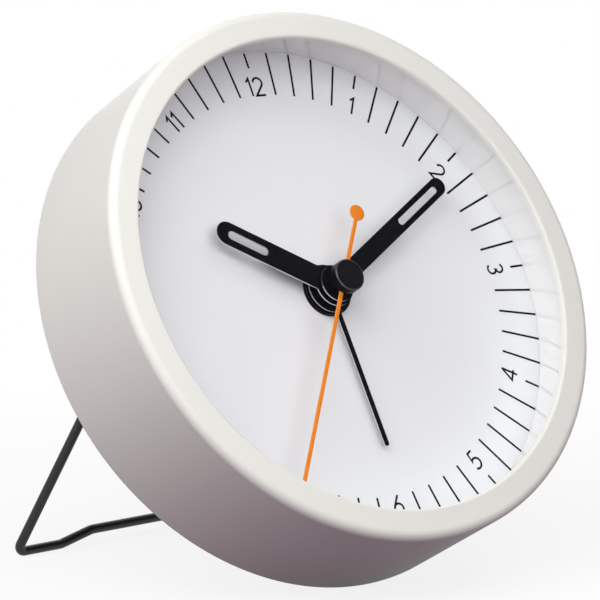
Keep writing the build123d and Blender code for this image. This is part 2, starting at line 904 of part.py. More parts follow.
def alarm_switch():
    """The slider at its off end: a ribbed button outside, a stem in the slot and a flange inside."""
    place = (switch_rest, switch_height)
    flange_length = switch_slot_length() + 2 * switch_flange_margin
    flange_width = switch_stem_width + 2 * switch_flange_margin
    flange_rear_face = cover_inner - switch_flange_gap
    flange_front_face = flange_rear_face - switch_flange_thickness
    button_front = cover_rear + switch_flange_gap
    button_rear = button_front + switch_knob_height
    slider = slab(flange_length, flange_width, flange_front_face, flange_rear_face, place)
    slider += slab(switch_stem_length, switch_stem_width, flange_rear_face, button_front, place)
    slider += slab(switch_knob_length, switch_knob_width, button_front, button_rear, place)
    pitch = switch_knob_length / (switch_rib_count + 1)
    for number in range(1, switch_rib_count + 1):
        groove = (switch_rest - switch_knob_length / 2 + pitch * number, switch_height)
        groove_floor = button_rear - switch_rib_depth
        slider -= slab(switch_rib_width, switch_knob_width, groove_floor, button_rear + overrun, groove)
    return slider


def alarm_contact():
    """A bent leaf on the rear plate, with its free end under the switch."""
    tip_depth = cover_inner - switch_flange_gap - switch_flange_thickness - switch_contact_gap
    foot_end = -leaf_foot
    outline = make_face(
        Polyline(
            (foot_end - leaf_foot, -rear_plate_rear),
            (foot_end, -rear_plate_rear),
            (foot_end + leaf_run, leaf_thickness - tip_depth),
            (foot_end + leaf_run, -tip_depth),
            (foot_end, -rear_plate_rear - leaf_thickness),
            (foot_end - leaf_foot, -rear_plate_rear - leaf_thickness),
            close=True,
        )
    )
    leaf = extrude(Plane.XZ * outline, amount=leaf_width / 2, both=True)
    return Pos(0, switch_height, 0) * leaf


opening = math.radians(opening_angle)


def leaned_back():
    """How far the clock leans back, in degrees, on the drum's rear lower edge and the wire's foot."""
    foot_height = pivot_height - leg_reach * math.cos(opening)
    foot_depth = pivot_depth + leg_reach * math.sin(opening)
    rise = foot_height + case_radius - rear_edge_round
    run = foot_depth - case_rear + rear_edge_round
    turn = math.asin((rear_edge_round - wire_radius) / math.hypot(rise, run))
    return math.degrees(math.atan2(rise, run) + turn)


def stand_point(along, off):
    """A point in the open stand's side view: along the leg from the pivot, and off it to the stop's side."""
    height = pivot_height - along * math.cos(opening) + off * math.sin(opening)
    level = -pivot_depth - along * math.sin(opening) - off * math.cos(opening)
    return (height, level)


def stand_stop(side):
    """A fin on the cover that the opened leg rests against."""
    off = wire_radius + run_clearance
    back = (pivot_standoff + off * math.cos(opening) + cover_wall / 2) / math.sin(opening)
    top = (pivot_height + stop_base, cover_wall / 2 - cover_rear)
    root = stand_point(-back, off)
    tip = stand_point(stop_reach, off)
    tip_far = stand_point(stop_reach, off + stop_tip)
    face = make_face(Plane.YZ * Polyline(root, tip, tip_far, top, close=True))
    width = stop_outer - stop_inner
    start = stop_inner if side > 0 else -stop_outer
    return Pos(start, 0, 0) * extrude(face, amount=width, dir=(1, 0, 0))


def stand_lug(side):
    """A bored ear on the cover that holds one end of the wire."""
    start = lug_inner if side > 0 else -lug_outer
    length = lug_outer - lug_inner
    middle = start + length / 2
    ear = bar_along_x(lug_radius, start, start + length, pivot_height, pivot_depth)
    ear += slab(length, 2 * lug_radius, cover_rear - cover_wall / 2, pivot_depth, (middle, pivot_height))
    bore = wire_radius + run_clearance
    return ear - bar_along_x(bore, start - overrun, start + length + overrun, pivot_height, pivot_depth)


def back_cover():
    """A dish that closes the drum: rim, flange, raised middle, door seat, stand lugs and stops."""
    hump = disc(hump_radius, flange_front, cover_rear)
    hump = fillet(hump.edges().group_by(Axis.Z)[0], hump_edge_round)
    cover = tube(insert_radius, insert_radius - cover_rim_wall, dial_thickness, flange_rear)
    cover += disc(insert_radius, flange_front, flange_rear)
    cover += hump
    cover -= disc(hump_inner_radius, flange_front - overrun, cover_inner)
    cover += plate(door_outline(door_margin), cover_inner - door_ledge, cover_inner + cover_wall / 2)
    seat = cover_rear - door_thickness - run_clearance
    cover -= plate(door_outline(fit_clearance), seat, cover_rear + overrun)
    hatch = slab(
        battery_length + 2 * fit_clearance,
        2 * (battery_radius + fit_clearance),
        cover_inner - door_ledge - overrun,
        cover_rear + overrun,
        (0, battery_height),
    )
    cover -= hatch
    for axis in (alarm_set_axis, time_set_axis):
        cover -= disc(set_shaft_radius + loose_clearance, cover_inner - overrun, cover_rear + overrun, axis)
    cover -= slab(
        switch_slot_length(),
        switch_stem_width + 2 * fit_clearance,
        cover_inner - overrun,
        cover_rear + overrun,
        (0, switch_height),
    )
    for place in cover_post_places:
        cover -= disc(cover_screw_radius + fit_clearance, cover_inner - overrun, cover_rear + overrun, place)
        cover -= disc(cover_screw_head_radius + fit_clearance, cover_screw_seat, cover_rear + overrun, place)
    for number in range(sound_hole_count):
        place = polar(buzzer_centre, sound_ring_radius, 360 / sound_hole_count * number)
        cover -= disc(sound_hole_radius, cover_inner - overrun, cover_rear + overrun, place)
    for side in (-1, 1):
        cover += stand_lug(side)
        cover += stand_stop(side)
    return cover


def stand_wire():
    """One bent wire: tails in the lugs, splayed legs, and a foot bar with a raised middle."""
    half = [
        (wire_tail_end, 0),
        (pivot_half_span, 0),
        (foot_half_span, -leg_reach),
        (foot_half_span - foot_flat, -leg_reach),
        (foot_half_span - foot_flat - jog_run, jog_rise - leg_reach),
    ]
    bends = [wire_pivot_bend, wire_foot_bend, wire_jog_bend, wire_jog_bend]
    points = [(-x, y) for x, y in half] + half[::-1]
    path = FilletPolyline(*points, radius=bends + bends[::-1])
    section = Plane(origin=path @ 0, z_dir=path % 0) * Circle(wire_radius)
    wire = sweep(section, path=path)
    return Pos(0, pivot_height, -pivot_depth) * Rot(opening_angle, 0, 0) * wire


makers = [
    case_shell, lens, inner_ring, dial, bush_nut,
    alarm_hand, hour_hand, minute_hand, seconds_hand, seconds_pipe, seconds_cap,
    movement_frame, rear_plate, movement_screws,
    rotor, intermediate_wheel, seconds_wheel, third_wheel, minute_wheel, transfer_wheel, hour_wheel,
    alarm_wheel,
    stator, coil_core, coil_bobbin, coil_winding, circuit_board, chip_cover, quartz_crystal, buzzer,
    alarm_set_shaft, time_set_shaft, alarm_switch, alarm_contact,
    battery, positive_contact, negative_contact, battery_door, back_cover, cover_screws, stand_wire,
]
pieces = {maker.__name__: maker() for maker in makers}
pieces["alarm_set_knob"] = set_knob(alarm_set_axis)
pieces["time_set_knob"] = set_knob(time_set_axis)

# The drum's rear lower edge and the two feet stand on the floor, with the origin under the clock's middle
tilt = Rot(half_turn_angle / 2 - leaned_back(), 0, 0)
leaned = {name: tilt * piece for name, piece in pieces.items()}
box = Compound(children=list(leaned.values())).bounding_box()
placement = Pos(0, -(box.min.Y + box.max.Y) / 2, -box.min.Z) * tilt

os.makedirs("parts", exist_ok=True)
for name, piece in pieces.items():
    export_step(placement * piece, f"parts/{name}.step")
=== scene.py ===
import json
import math

import bmesh
import bpy
from mathutils import Matrix, Vector


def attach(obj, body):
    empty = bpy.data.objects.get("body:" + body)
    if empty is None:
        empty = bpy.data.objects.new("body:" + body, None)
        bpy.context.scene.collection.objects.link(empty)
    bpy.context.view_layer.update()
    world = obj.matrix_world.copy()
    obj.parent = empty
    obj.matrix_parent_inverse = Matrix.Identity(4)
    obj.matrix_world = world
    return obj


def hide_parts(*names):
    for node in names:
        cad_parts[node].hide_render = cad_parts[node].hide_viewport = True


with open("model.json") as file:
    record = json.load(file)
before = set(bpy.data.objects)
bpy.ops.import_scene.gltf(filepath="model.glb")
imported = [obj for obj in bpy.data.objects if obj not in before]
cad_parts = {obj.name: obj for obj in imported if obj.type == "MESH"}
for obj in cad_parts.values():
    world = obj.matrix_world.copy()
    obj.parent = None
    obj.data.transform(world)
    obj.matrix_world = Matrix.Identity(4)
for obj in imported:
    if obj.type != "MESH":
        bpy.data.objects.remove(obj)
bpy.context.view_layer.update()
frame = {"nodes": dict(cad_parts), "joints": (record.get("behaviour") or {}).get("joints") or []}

# A round desk alarm clock on a wire stand. Pieces are drawn in millimetres in the dial's own frame:
# X to 3 o'clock, Y to 12 o'clock, Z out of the dial, with the origin in the middle of its front face.
MM = 0.001
joints = {joint["name"]: joint for joint in frame["joints"]}
INWARD = Vector(joints["minute_turn"]["axis"]).normalized()
RIGHT = Vector((1, 0, 0))
UP = RIGHT.cross(INWARD)
CENTRE = Vector(joints["minute_turn"]["pos_m"])
CLOCK = Matrix((RIGHT, UP, -INWARD)).transposed().to_4x4()
CLOCK.translation = CENTRE
CLOCK = CLOCK @ Matrix.Scale(MM, 4)
TO_DIAL = CLOCK.inverted()

# Camera, in the dial's frame: its place, the way it looks and the way up
camera_place = (-350.5, -130.5, 422.3)
camera_ahead = (0.61544, 0.23142, -0.75344)
camera_up = (0.1137, 0.91986, 0.3754)
camera_lens = 212.75
camera_sensor = 36.0
camera_clip = (0.01, 50.0)

# Light and floor
ambient_level = 0.235
ambient_colour = (1.04, 0.96, 1.05)
lamp_colour = (0.985, 1.0, 0.975)
floor_bounce = (0.105, 0.042, 0.085)
floor_near = 0.04
floor_far = 0.16
floor_glow = 0.84
floor_size = 6.0
floor_squares = 8
floor_patch = 80
floor_tones = ((0.95, 0.95, 0.95), (0.97, 0.97, 0.97))
floor_roughness = 0.9

# Lamps: the way to each one from the clock, its distance and size in metres, and its level
LAMPS = {
    "key": ((0.45, -0.3, 0.9), 1.2, 0.4, 0.1),
    "left": ((-0.685, -0.16, 0.604), 0.28, 0.27, 0.73),
    "front": ((-0.25, -0.75, 0.42), 0.36, 0.38, 0.55),
    "rear": ((0.6, 0.75, 0.28), 0.9, 0.5, 0.22),
}

# Case, lens, ring and dial
case_radius = 45.0
inside_radius = 43.8
insert_radius = 43.7
case_rear = 13.7
lip_front = 9.85
lip_inner_radius = 40.0
lip_thickness = 1.1
lip_edge_round = 0.5
front_edge_round = 1.4
rear_edge_round = 0.25
lens_front = lip_front - lip_thickness
lens_rear = lens_front - 1.2
lens_edge_round = 0.25
ring_inner_radius = 42.06
dial_thickness = 0.6
dial_hole_radius = 3.5
small_round = 0.12

# Points beside the ends of a profile's runs: their distance, and how many of it a run must be longer than
hold = 0.1
hold_runs = 4
same_share = 0.01

# Print on the dial
print_lift = 0.02
print_sink = 0.02
print_shift = (-0.1, -0.2)
print_turn = 0.25
mark_width = 0.37
mark_outer = 42.1
long_mark_inner = 34.6
short_mark_inner = 39.4
minutes = 60
hours = 12
number_radius = 36.1
number_height = 3.1
number_stroke = 0.36
digit_gap_share = 0.22
mitre_limit = 0.4
upright_hours = (4, 5, 6, 7, 8)

# Hands: underside, thickness, and the angle clockwise from 12
hand_edge = 0.07
alarm_hand = dict(low=0.95, thick=0.4, length=27.0, width=0.9, hub=4.0, hole=2.45, angle=178.7)
hour_hand = dict(low=2.3, thick=0.4, length=22.3, width=4.0, hub=3.45, hole=1.75, angle=302.5)
hour_slot = (12.65, 20.15, 1.5)
hour_collar = dict(radius=2.8, low=1.75, hole=1.75)
minute_hand = dict(low=3.25, thick=0.4, length=31.8, width=3.1, hub=3.05, hole=1.1, angle=62.5)
minute_slot = (18.45, 29.65, 1.2)
seconds_hand = dict(low=5.2, thick=0.3, length=38.0, width=0.66, hub=1.7, hole=0.5, angle=213.6)
counterweight = dict(distance=12.75, radius=1.35)
cap_radius = 2.7
cap_low = 5.5
cap_top = 7.15
cap_round = 0.25

# Wire stand
wire_radius = 0.8
pivot_half_span = 9.8
foot_half_span = 33.0
leg_reach = 55.4
foot_flat = 8.8
jog_run = 6.0
jog_rise = 1.7
wire_tail_end = 4.7
wire_bends = (2.0, 1.0, 4.0, 4.0)
opening_angle = -joints["stand_fold"]["range_deg"][0]

# Back of the clock
cover_rear = 17.3
knob_radius = 4.5
knob_front = 17.6
knob_rear = 21.0
knob_teeth = 36
knob_tooth_depth = 0.28
knob_round = 0.45
knob_dish_radius = 3.0
knob_dish_depth = 0.35
battery_band = 9.0
switch_height = 13.0
cover_stroke = 0.28
arrow_radius = 6.2
arrow_sweep = (45, 135)
arrow_head = 1.4
arrow_spread = 32
sign_radius = 1.35
sign_height = 8.6
word_height = 1.7
word_distance = 6.5

# Steps of the round forms
ROUND_STEPS = 192
SMALL_ROUND_STEPS = 96
ARC_STEPS = 8
EDGE_STEPS = 4
RING_EDGE_STEPS = 3
KNOB_EDGE_STEPS = 5
TOOTH_STEPS = 6
HOLE_STEPS = 64
SLOT_STEPS = 16
TIP_STEPS = 12
HUB_STEPS = 56
HALF_HUB_STEPS = 24
WEIGHT_STEPS = 40
BEND_STEPS = 10
WIRE_SIDES = 24
ARROW_STEPS = 16

# Angles between faces from which an edge is drawn sharp, and the slopes that part the faces of hands and cap
SHARP_ANGLE = 35.0
HAND_SHARP_ANGLE = 20
wall_slope = 0.1
rim_slopes = (0.1, 0.98)

# Grain of the finishes
noise_span = (0.3, 0.7)
drift_detail = 3.0
grain_detail = 4.0
relief_strength = 0.3
lens_patch = 6.0
lens_roughness = (0.02, 0.05)
lens_tone = (0.05, 0.05, 0.055)
lens_cover = 0.015


def arc(centre, radius, start, end, steps=ARC_STEPS):
    """Points on an arc, in degrees counter-clockwise from the first axis."""
    angles = [math.radians(start + (end - start) * step / steps) for step in range(steps + 1)]
    return [(centre[0] + radius * math.cos(a), centre[1] + radius * math.sin(a)) for a in angles]


def new_piece(name, bm, materials, body, replaces=(), sharp=SHARP_ANGLE):
    """A mesh drawn in the dial's frame, set in the part's frame and tied to its body."""
    bmesh.ops.recalc_face_normals(bm, faces=bm.faces)
    bm.transform(CLOCK)
    mesh = bpy.data.meshes.new(name)
    bm.to_mesh(mesh)
    bm.free()
    for material in materials:
        mesh.materials.append(material)
    mesh.shade_smooth()
    mesh.set_sharp_from_angle(angle=math.radians(sharp))
    piece = bpy.data.objects.new(name, mesh)
    bpy.context.scene.collection.objects.link(piece)
    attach(piece, body)
    if replaces:
        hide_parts(*replaces)
    return piece


def held(profile, closed):
    """The profile with a point beside each end of its long runs, so that their faces shade flat."""
    points = [Vector(point) for point in profile]
    ends = points[1:] + ([points[0]] if closed else [])
    full = []
    for start, end in zip(points, ends):
        full.append(start)
        if (end - start).length > hold_runs * hold:
            step = (end - start).normalized() * hold
            full += [start + step, end - step]
    return full if closed else full + [points[-1]]


def lathe(profile, closed=True, steps=ROUND_STEPS):
    """A turned form: a profile of (radius, height) points taken round the Z axis. An open one ends on it."""
    bm = bmesh.new()
    rings = []
    for radius, height in held(profile, closed):
        if radius < small_round * same_share:
            rings.append([bm.verts.new((0, 0, height))] * steps)
            continue
        turns = [2 * math.pi * step / steps for step in range(steps)]
        rings.append([bm.verts.new((radius * math.cos(t), radius * math.sin(t), height)) for t in turns])
    pairs = list(zip(rings, rings[1:])) + ([(rings[-1], rings[0])] if closed else [])
    for low, high in pairs:
        for step in range(steps):
            corners = [low[step], low[(step + 1) % steps], high[(step + 1) % steps], high[step]]
            bm.faces.new(list(dict.fromkeys(corners)))
    return bm


def moved(bm, place=(0, 0, 0), turn=0.0):
    """Turns a drawing clockwise about the dial's axis, then moves it."""
    bm.transform(Matrix.Translation(place) @ Matrix.Rotation(math.radians(-turn), 4, "Z"))
    return bm


def joined(*drawings):
    """One drawing out of several."""
    whole = bmesh.new()
    for bm in drawings:
        mesh = bpy.data.meshes.new("part")
        bm.to_mesh(mesh)
        bm.free()
        whole.from_mesh(mesh)
        bpy.data.meshes.remove(mesh)
    return whole


def sheet_form(outlines, low, thick, edge):
    """A flat form with softened edges: the first outline is its rim, the others are holes in it."""
    curve = bpy.data.curves.new("outline", "CURVE")
    curve.dimensions = "2D"
    curve.fill_mode = "BOTH"
    curve.extrude = thick / 2 - edge
    curve.bevel_depth = edge
    curve.bevel_resolution = 2
    curve.offset = -edge
    for outline in outlines:
        spline = curve.splines.new("POLY")
        spline.points.add(len(outline) - 1)
        for point, (x, y) in zip(spline.points, outline):
            point.co = (x, y, 0, 1)
        spline.use_cyclic_u = True
    holder = bpy.data.objects.new("outline", curve)
    mesh = bpy.data.meshes.new_from_object(holder)
    bm = bmesh.new()
    bm.from_mesh(mesh)
    bpy.data.objects.remove(holder)
    bpy.data.curves.remove(curve)
    bpy.data.meshes.remove(mesh)
    bmesh.ops.remove_doubles(bm, verts=bm.verts, dist=edge * same_share)
    return moved(bm, (0, 0, low + thick / 2))


def ribbon(points, width, low, high):
    """A flat stroke along points in the dial's plane. It closes where the last point is the first one."""
    bm = bmesh.new()
    path = [Vector(point) for point in points]
    closed = (path[0] - path[-1]).length < width * same_share
    if closed:
        path.pop()
    count = len(path)
    rows = []
    for index, here in enumerate(path):
        legs = []
        if closed or index > 0:
            legs.append((here - path[index - 1]).normalized())
        if closed or index < count - 1:
            legs.append((path[(index + 1) % count] - here).normalized())
        along = sum(legs, Vector((0, 0))).normalized()
        side = Vector((-along.y, along.x))
        side *= width / 2 / max(side.dot(Vector((-legs[0].y, legs[0].x))), mitre_limit)
        left, right = here + side, here - side
        corners = ((left, low), (right, low), (right, high), (left, high))
        rows.append([bm.verts.new((corner.x, corner.y, z)) for corner, z in corners])
    for first, second in zip(rows, rows[1:] + rows[:1] if closed else rows[1:]):
        for i in range(4):
            j = (i + 1) % 4
            bm.faces.new((first[i], first[j], second[j], second[i]))
    if not closed:
        bm.faces.new(rows[0][::-1])
        bm.faces.new(rows[-1])
    return bm


def tube(points, radius, sides=WIRE_SIDES):
    """A round wire along points, with closed ends."""
    bm = bmesh.new()
    rings = []
    normal = None
    for index, point in enumerate(points):
        before = points[max(index - 1, 0)]
        after = points[min(index + 1, len(points) - 1)]
        along = (after - before).normalized()
        normal = along.orthogonal() if normal is None else normal - along * normal.dot(along)
        normal.normalize()
        other = along.cross(normal)
        turns = [2 * math.pi * side / sides for side in range(sides)]
        rays = [math.cos(turn) * normal + math.sin(turn) * other for turn in turns]
        rings.append([bm.verts.new(point + radius * ray) for ray in rays])
    for first, second in zip(rings, rings[1:]):
        for i in range(sides):
            j = (i + 1) % sides
            bm.faces.new((first[i], first[j], second[j], second[i]))
    bm.faces.new(rings[0][::-1])
    bm.faces.new(rings[-1])
    return bm


# Materials
def node_material(name):
    """A new material, its nodes, its links, its shader and coordinates that ride with the piece."""
    material = bpy.data.materials.new(name)
    material.use_nodes = True
    nodes = material.node_tree.nodes
    links = material.node_tree.links
    place = nodes.new("ShaderNodeTexCoord").outputs["Object"]
    return material, nodes, links, nodes["Principled BSDF"], place


def noise(nodes, links, place, size_mm, detail=drift_detail, stretch=None):
    """Noise whose grain is about the given size."""
    if stretch is not None:
        mapping = nodes.new("ShaderNodeMapping")
        mapping.inputs["Scale"].default_value = stretch
        links.new(place, mapping.inputs["Vector"])
        place = mapping.outputs["Vector"]
    texture = nodes.new("ShaderNodeTexNoise")
    texture.inputs["Scale"].default_value = 1 / (size_mm * MM)
    texture.inputs["Detail"].default_value = detail
    links.new(place, texture.inputs["Vector"])
    return texture.outputs["Fac"]


def ramp(nodes, links, factor, low, high):
    """Two colours, mixed by a factor."""
    mixed = nodes.new("ShaderNodeValToRGB")
    for element, position, colour in zip(mixed.color_ramp.elements, noise_span, (low, high)):
        element.position = position
        element.color = (*colour, 1)
    links.new(factor, mixed.inputs["Fac"])
    return mixed.outputs["Color"]


def spread(nodes, links, factor, low, high):
    """A number that runs from low to high with a factor."""
    scaled = nodes.new("ShaderNodeMapRange")
    scaled.inputs["From Min"].default_value = noise_span[0]
    scaled.inputs["From Max"].default_value = noise_span[1]
    scaled.inputs["To Min"].default_value = low
    scaled.inputs["To Max"].default_value = high
    links.new(factor, scaled.inputs["Value"])
    return scaled.outputs["Result"]


def bump(nodes, links, shader, height, depth_mm):
    """A slight relief on a finish."""
    node = nodes.new("ShaderNodeBump")
    node.inputs["Strength"].default_value = relief_strength
    node.inputs["Distance"].default_value = depth_mm * MM
    links.new(height, node.inputs["Height"])
    links.new(node.outputs["Normal"], shader.inputs["Normal"])


def banded(nodes, links, place, shade, band_colour, start):
    """A shade that gives way to another colour past a place along X."""
    split = nodes.new("ShaderNodeSeparateXYZ")
    links.new(place, split.inputs["Vector"])
    past = nodes.new("ShaderNodeMath")
    past.operation = "GREATER_THAN"
    past.inputs[1].default_value = start * MM
    links.new(split.outputs["X"], past.inputs[0])
    mix = nodes.new("ShaderNodeMix")
    mix.data_type = "RGBA"
    mix.inputs["B"].default_value = (*band_colour, 1)
    links.new(past.outputs[0], mix.inputs["Factor"])
    links.new(shade, mix.inputs["A"])
    return mix.outputs["Result"]


def finish_of(name, colour, tint, patch, grain, rough, relief,
              metal=0.0, stretch=None, coat=0.0, specular=0.5, band=None):
    """A finish with slow drifts of tone, fine grain in its gloss and a slight relief."""
    material, nodes, links, shader, place = node_material(name)
    drift = noise(nodes, links, place, patch)
    darker = tuple(value * tint for value in colour)
    shade = ramp(nodes, links, drift, darker, colour)
    if band is not None:
        shade = banded(nodes, links, place, shade, *band)
    links.new(shade, shader.inputs["Base Color"])
    fine = noise(nodes, links, place, grain, grain_detail, stretch)
    links.new(spread(nodes, links, fine, *rough), shader.inputs["Roughness"])
    bump(nodes, links, shader, fine, relief)
    shader.inputs["Metallic"].default_value = metal
    shader.inputs["Coat Weight"].default_value = coat
    shader.inputs["Specular IOR Level"].default_value = specular
    return material


def clear_finish(name):
    """Polished clear plastic, thin enough to show hardly any of itself."""
    material, nodes, links, shader, place = node_material(name)
    drift = noise(nodes, links, place, lens_patch)
    links.new(spread(nodes, links, drift, *lens_roughness), shader.inputs["Roughness"])
    shader.inputs["Base Color"].default_value = (*lens_tone, 1)
    shader.inputs["Alpha"].default_value = lens_cover
    return material


# Finishes: colour, its darkest share, the size of its drifts and of its grain in mm, the span of its
# roughness, its relief in mm, and other settings
FINISHES = {
    "case_white": ((0.855, 0.85, 0.805), 0.985, 14, 0.35, (0.46, 0.56), 0.012, dict(specular=0.12)),
    "ring_white": ((0.93, 0.93, 0.93), 0.99, 12, 2.0, (0.03, 0.05), 0.0, dict(coat=0.7, specular=0.6)),
    "dial_white": ((0.905, 0.92, 0.95), 0.985, 18, 0.12, (0.5, 0.6), 0.004, dict(specular=0.2)),
    "dial_ink": ((0.008, 0.008, 0.01), 0.8, 1.5, 0.1, (0.45, 0.6), 0.004, dict(specular=0.1)),
    "cover_ink": ((0.7, 0.7, 0.7), 0.9, 1.5, 0.1, (0.5, 0.62), 0.003, {}),
    "hand_black": ((0.004, 0.004, 0.006), 0.85, 5, 0.08, (0.5, 0.62), 0.004, dict(specular=0.03)),
    "hand_edge": ((0.72, 0.72, 0.74), 0.9, 2, 0.05, (0.25, 0.4), 0.003, dict(metal=1.0)),
    "hand_orange": ((0.93, 0.26, 0.02), 0.95, 4, 0.1, (0.4, 0.5), 0.003, dict(specular=0.1)),
    "orange_edge": ((0.95, 0.5, 0.2), 0.95, 4, 0.1, (0.35, 0.45), 0.003, dict(specular=0.3)),
    "cap_rim": ((0.01, 0.01, 0.012), 0.85, 2, 0.1, (0.16, 0.24), 0.002, dict(specular=0.7)),
    "cap_black": ((0.004, 0.004, 0.006), 0.85, 2, 0.1, (0.3, 0.4), 0.003, dict(specular=0.06)),
    "wire_dark": ((0.005, 0.005, 0.007), 0.8, 3, 0.15, (0.32, 0.42), 0.004, dict(specular=0.45)),
    "cover_black": ((0.032, 0.032, 0.036), 0.85, 12, 0.22, (0.5, 0.66), 0.03, {}),
    "knob_grey": ((0.085, 0.085, 0.092), 0.88, 4, 0.2, (0.42, 0.55), 0.012, {}),
    "switch_orange": ((0.78, 0.2, 0.03), 0.92, 3, 0.2, (0.4, 0.5), 0.01, {}),
    "screw_steel": ((0.5, 0.5, 0.51), 0.8, 1.2, 0.12, (0.25, 0.4), 0.004, dict(metal=1.0)),
    "frame_plastic": ((0.66, 0.66, 0.62), 0.95, 9, 0.25, (0.4, 0.52), 0.01, {}),
    "gear_plastic": ((0.72, 0.69, 0.6), 0.95, 4, 0.2, (0.35, 0.45), 0.006, {}),
    "brass": ((0.72, 0.5, 0.2), 0.85, 2, 0.1, (0.2, 0.34), 0.003, dict(metal=1.0)),
    "iron": ((0.4, 0.4, 0.41), 0.82, 3, 0.1, (0.35, 0.5), 0.005, dict(metal=1.0)),
    "copper": ((0.62, 0.25, 0.1), 0.8, 2, 0.08, (0.25, 0.35), 0.02, dict(metal=1.0, stretch=(1, 0.05, 0.05))),
    "board_green": ((0.03, 0.2, 0.09), 0.85, 3, 0.2, (0.35, 0.5), 0.008, {}),
    "resin_black": ((0.012, 0.012, 0.012), 0.85, 2, 0.2, (0.12, 0.22), 0.006, {}),
    "can_silver": ((0.7, 0.7, 0.71), 0.88, 2, 0.12, (0.2, 0.32), 0.003, dict(metal=1.0)),
    "battery_skin": ((0.09, 0.1, 0.12), 0.85, 6, 0.3, (0.2, 0.3), 0.004,
                     dict(coat=0.3, band=((0.7, 0.36, 0.12), battery_band))),
}
paint = {name: finish_of(name, *values, **others) for name, (*values, others) in FINISHES.items()}
paint["lens_clear"] = clear_finish("lens_clear")


def edge_walls(bm):
    """Gives the second material to the faces that stand up from the dial."""
    bm.normal_update()
    for face in bm.faces:
        if abs(face.normal.z) < wall_slope:
            face.material_index = 1
    return bm


def edge_rim(bm):
    """Gives the second material to the cap's faces that slope forwards."""
    low, high = rim_slopes
    bm.normal_update()
    for face in bm.faces:
        if low < abs(face.normal.z) < high and face.calc_center_median().z > cap_low + cap_round:
            face.material_index = 1
    return bm


# Case, ring, lens and dial
def case_profile():
    front = lip_front
    outer = arc((case_radius - front_edge_round, front - front_edge_round), front_edge_round, 90, 0)
    rear_middle = rear_edge_round - case_rear
    rear = arc((case_radius - rear_edge_round, rear_middle), rear_edge_round, 0, -90, EDGE_STEPS)
    rear_in = arc((inside_radius + rear_edge_round, rear_middle), rear_edge_round, -90, -180, EDGE_STEPS)
    lip = [(inside_radius, lens_front), (lip_inner_radius, lens_front)]
    lip_middle = (lip_inner_radius + lip_edge_round, front - lip_edge_round)
    lip_round = arc(lip_middle, lip_edge_round, 180, 90, EDGE_STEPS)
    return outer + rear + rear_in + lip + lip_round


def lens_profile():
    rim = insert_radius - lens_edge_round
    front = arc((rim, lens_front - lens_edge_round), lens_edge_round, 90, 0, EDGE_STEPS)
    rear = arc((rim, lens_rear + lens_edge_round), lens_edge_round, 0, -90, EDGE_STEPS)
    return [(0, lens_front)] + front + rear + [(0, lens_rear)]


def ring_profile():
    soft = small_round
    corners = [
        arc((ring_inner_radius + soft, soft), soft, 270, 180, RING_EDGE_STEPS),
        arc((ring_inner_radius + soft, lens_rear - soft), soft, 180, 90, RING_EDGE_STEPS),
        arc((insert_radius - soft, lens_rear - soft), soft, 90, 0, RING_EDGE_STEPS),
        arc((insert_radius - soft, soft), soft, 0, -90, RING_EDGE_STEPS),
    ]
    return sum(corners, [])


def dial_profile():
    soft = small_round
    hole = dial_hole_radius
    rear = -dial_thickness
    return [(hole + soft, 0), (insert_radius, 0), (insert_radius, rear), (hole, rear), (hole, -soft)]


new_piece("case_body", lathe(case_profile()), [paint["case_white"]], "case", ["case_shell"])
lens_form = lathe(lens_profile(), closed=False)
new_piece("lens_disc", lens_form, [paint["lens_clear"]], "case", ["lens"])
new_piece("dial_ring", lathe(ring_profile()), [paint["ring_white"]], "case", ["inner_ring"])
new_piece("dial_plate", lathe(dial_profile()), [paint["dial_white"]], "case", ["dial"])


# Marks and numbers, printed on the dial
def on_dial(angle, radius):
    turn = math.radians(angle)
    return (radius * math.sin(turn), radius * math.cos(turn))


def minute_marks():
    strokes = []
    for minute in range(minutes):
        angle = 360 / minutes * minute
        inner = short_mark_inner if minute % (minutes // hours) == 0 else long_mark_inner
        ends = [on_dial(angle, inner), on_dial(angle, mark_outer)]
        strokes.append(ribbon(ends, mark_width, -print_sink, print_lift))
    return joined(*strokes)


# Signs: their width and the lines that they are made of, in shares of their height
SIGN_SHARES = {
    "0": (0.56, [arc((0.28, 0.72), 0.28, 0, 180, 10) + arc((0.28, 0.28), 0.28, 180, 360, 10)
                 + [(0.56, 0.72)]]),
    "1": (0.22, [[(0.0, 0.8), (0.2, 1.0), (0.2, 0.0)]]),
    "2": (0.56, [arc((0.28, 0.72), 0.28, 170, -38, 12) + [(0.0, 0.0), (0.58, 0.0)]]),
    "3": (0.52, [arc((0.24, 0.76), 0.24, 150, -90, 10) + arc((0.24, 0.26), 0.26, 90, -150, 12)]),
    "4": (0.6, [[(0.44, 0.0), (0.44, 1.0)], [(0.44, 1.0), (0.0, 0.27), (0.6, 0.27)]]),
    "5": (0.54, [[(0.48, 1.0), (0.16, 1.0), (0.07, 0.54)] + arc((0.23, 0.31), 0.3, 112, -140, 12)]),
    "6": (0.56, [[(0.42, 1.0)] + arc((0.28, 0.28), 0.28, 150, 510, 20)]),
    "7": (0.54, [[(0.0, 1.0), (0.54, 1.0), (0.14, 0.0)]]),
    "8": (0.52, [arc((0.26, 0.76), 0.235, -90, 270, 16), arc((0.26, 0.265), 0.265, 90, 450, 16)]),
    "9": (0.56, [[(0.14, 0.0)] + arc((0.28, 0.72), 0.28, 330, 690, 20)]),
    "F": (0.5, [[(0.0, 0.0), (0.0, 1.0), (0.5, 1.0)], [(0.0, 0.52), (0.42, 0.52)]]),
    "N": (0.6, [[(0.0, 0.0), (0.0, 1.0)], [(0.0, 1.0), (0.6, 0.0)], [(0.6, 0.0), (0.6, 1.0)]]),
    "O": (0.76, [arc((0.38, 0.5), 0.46, 0, 360, 24)]),
}


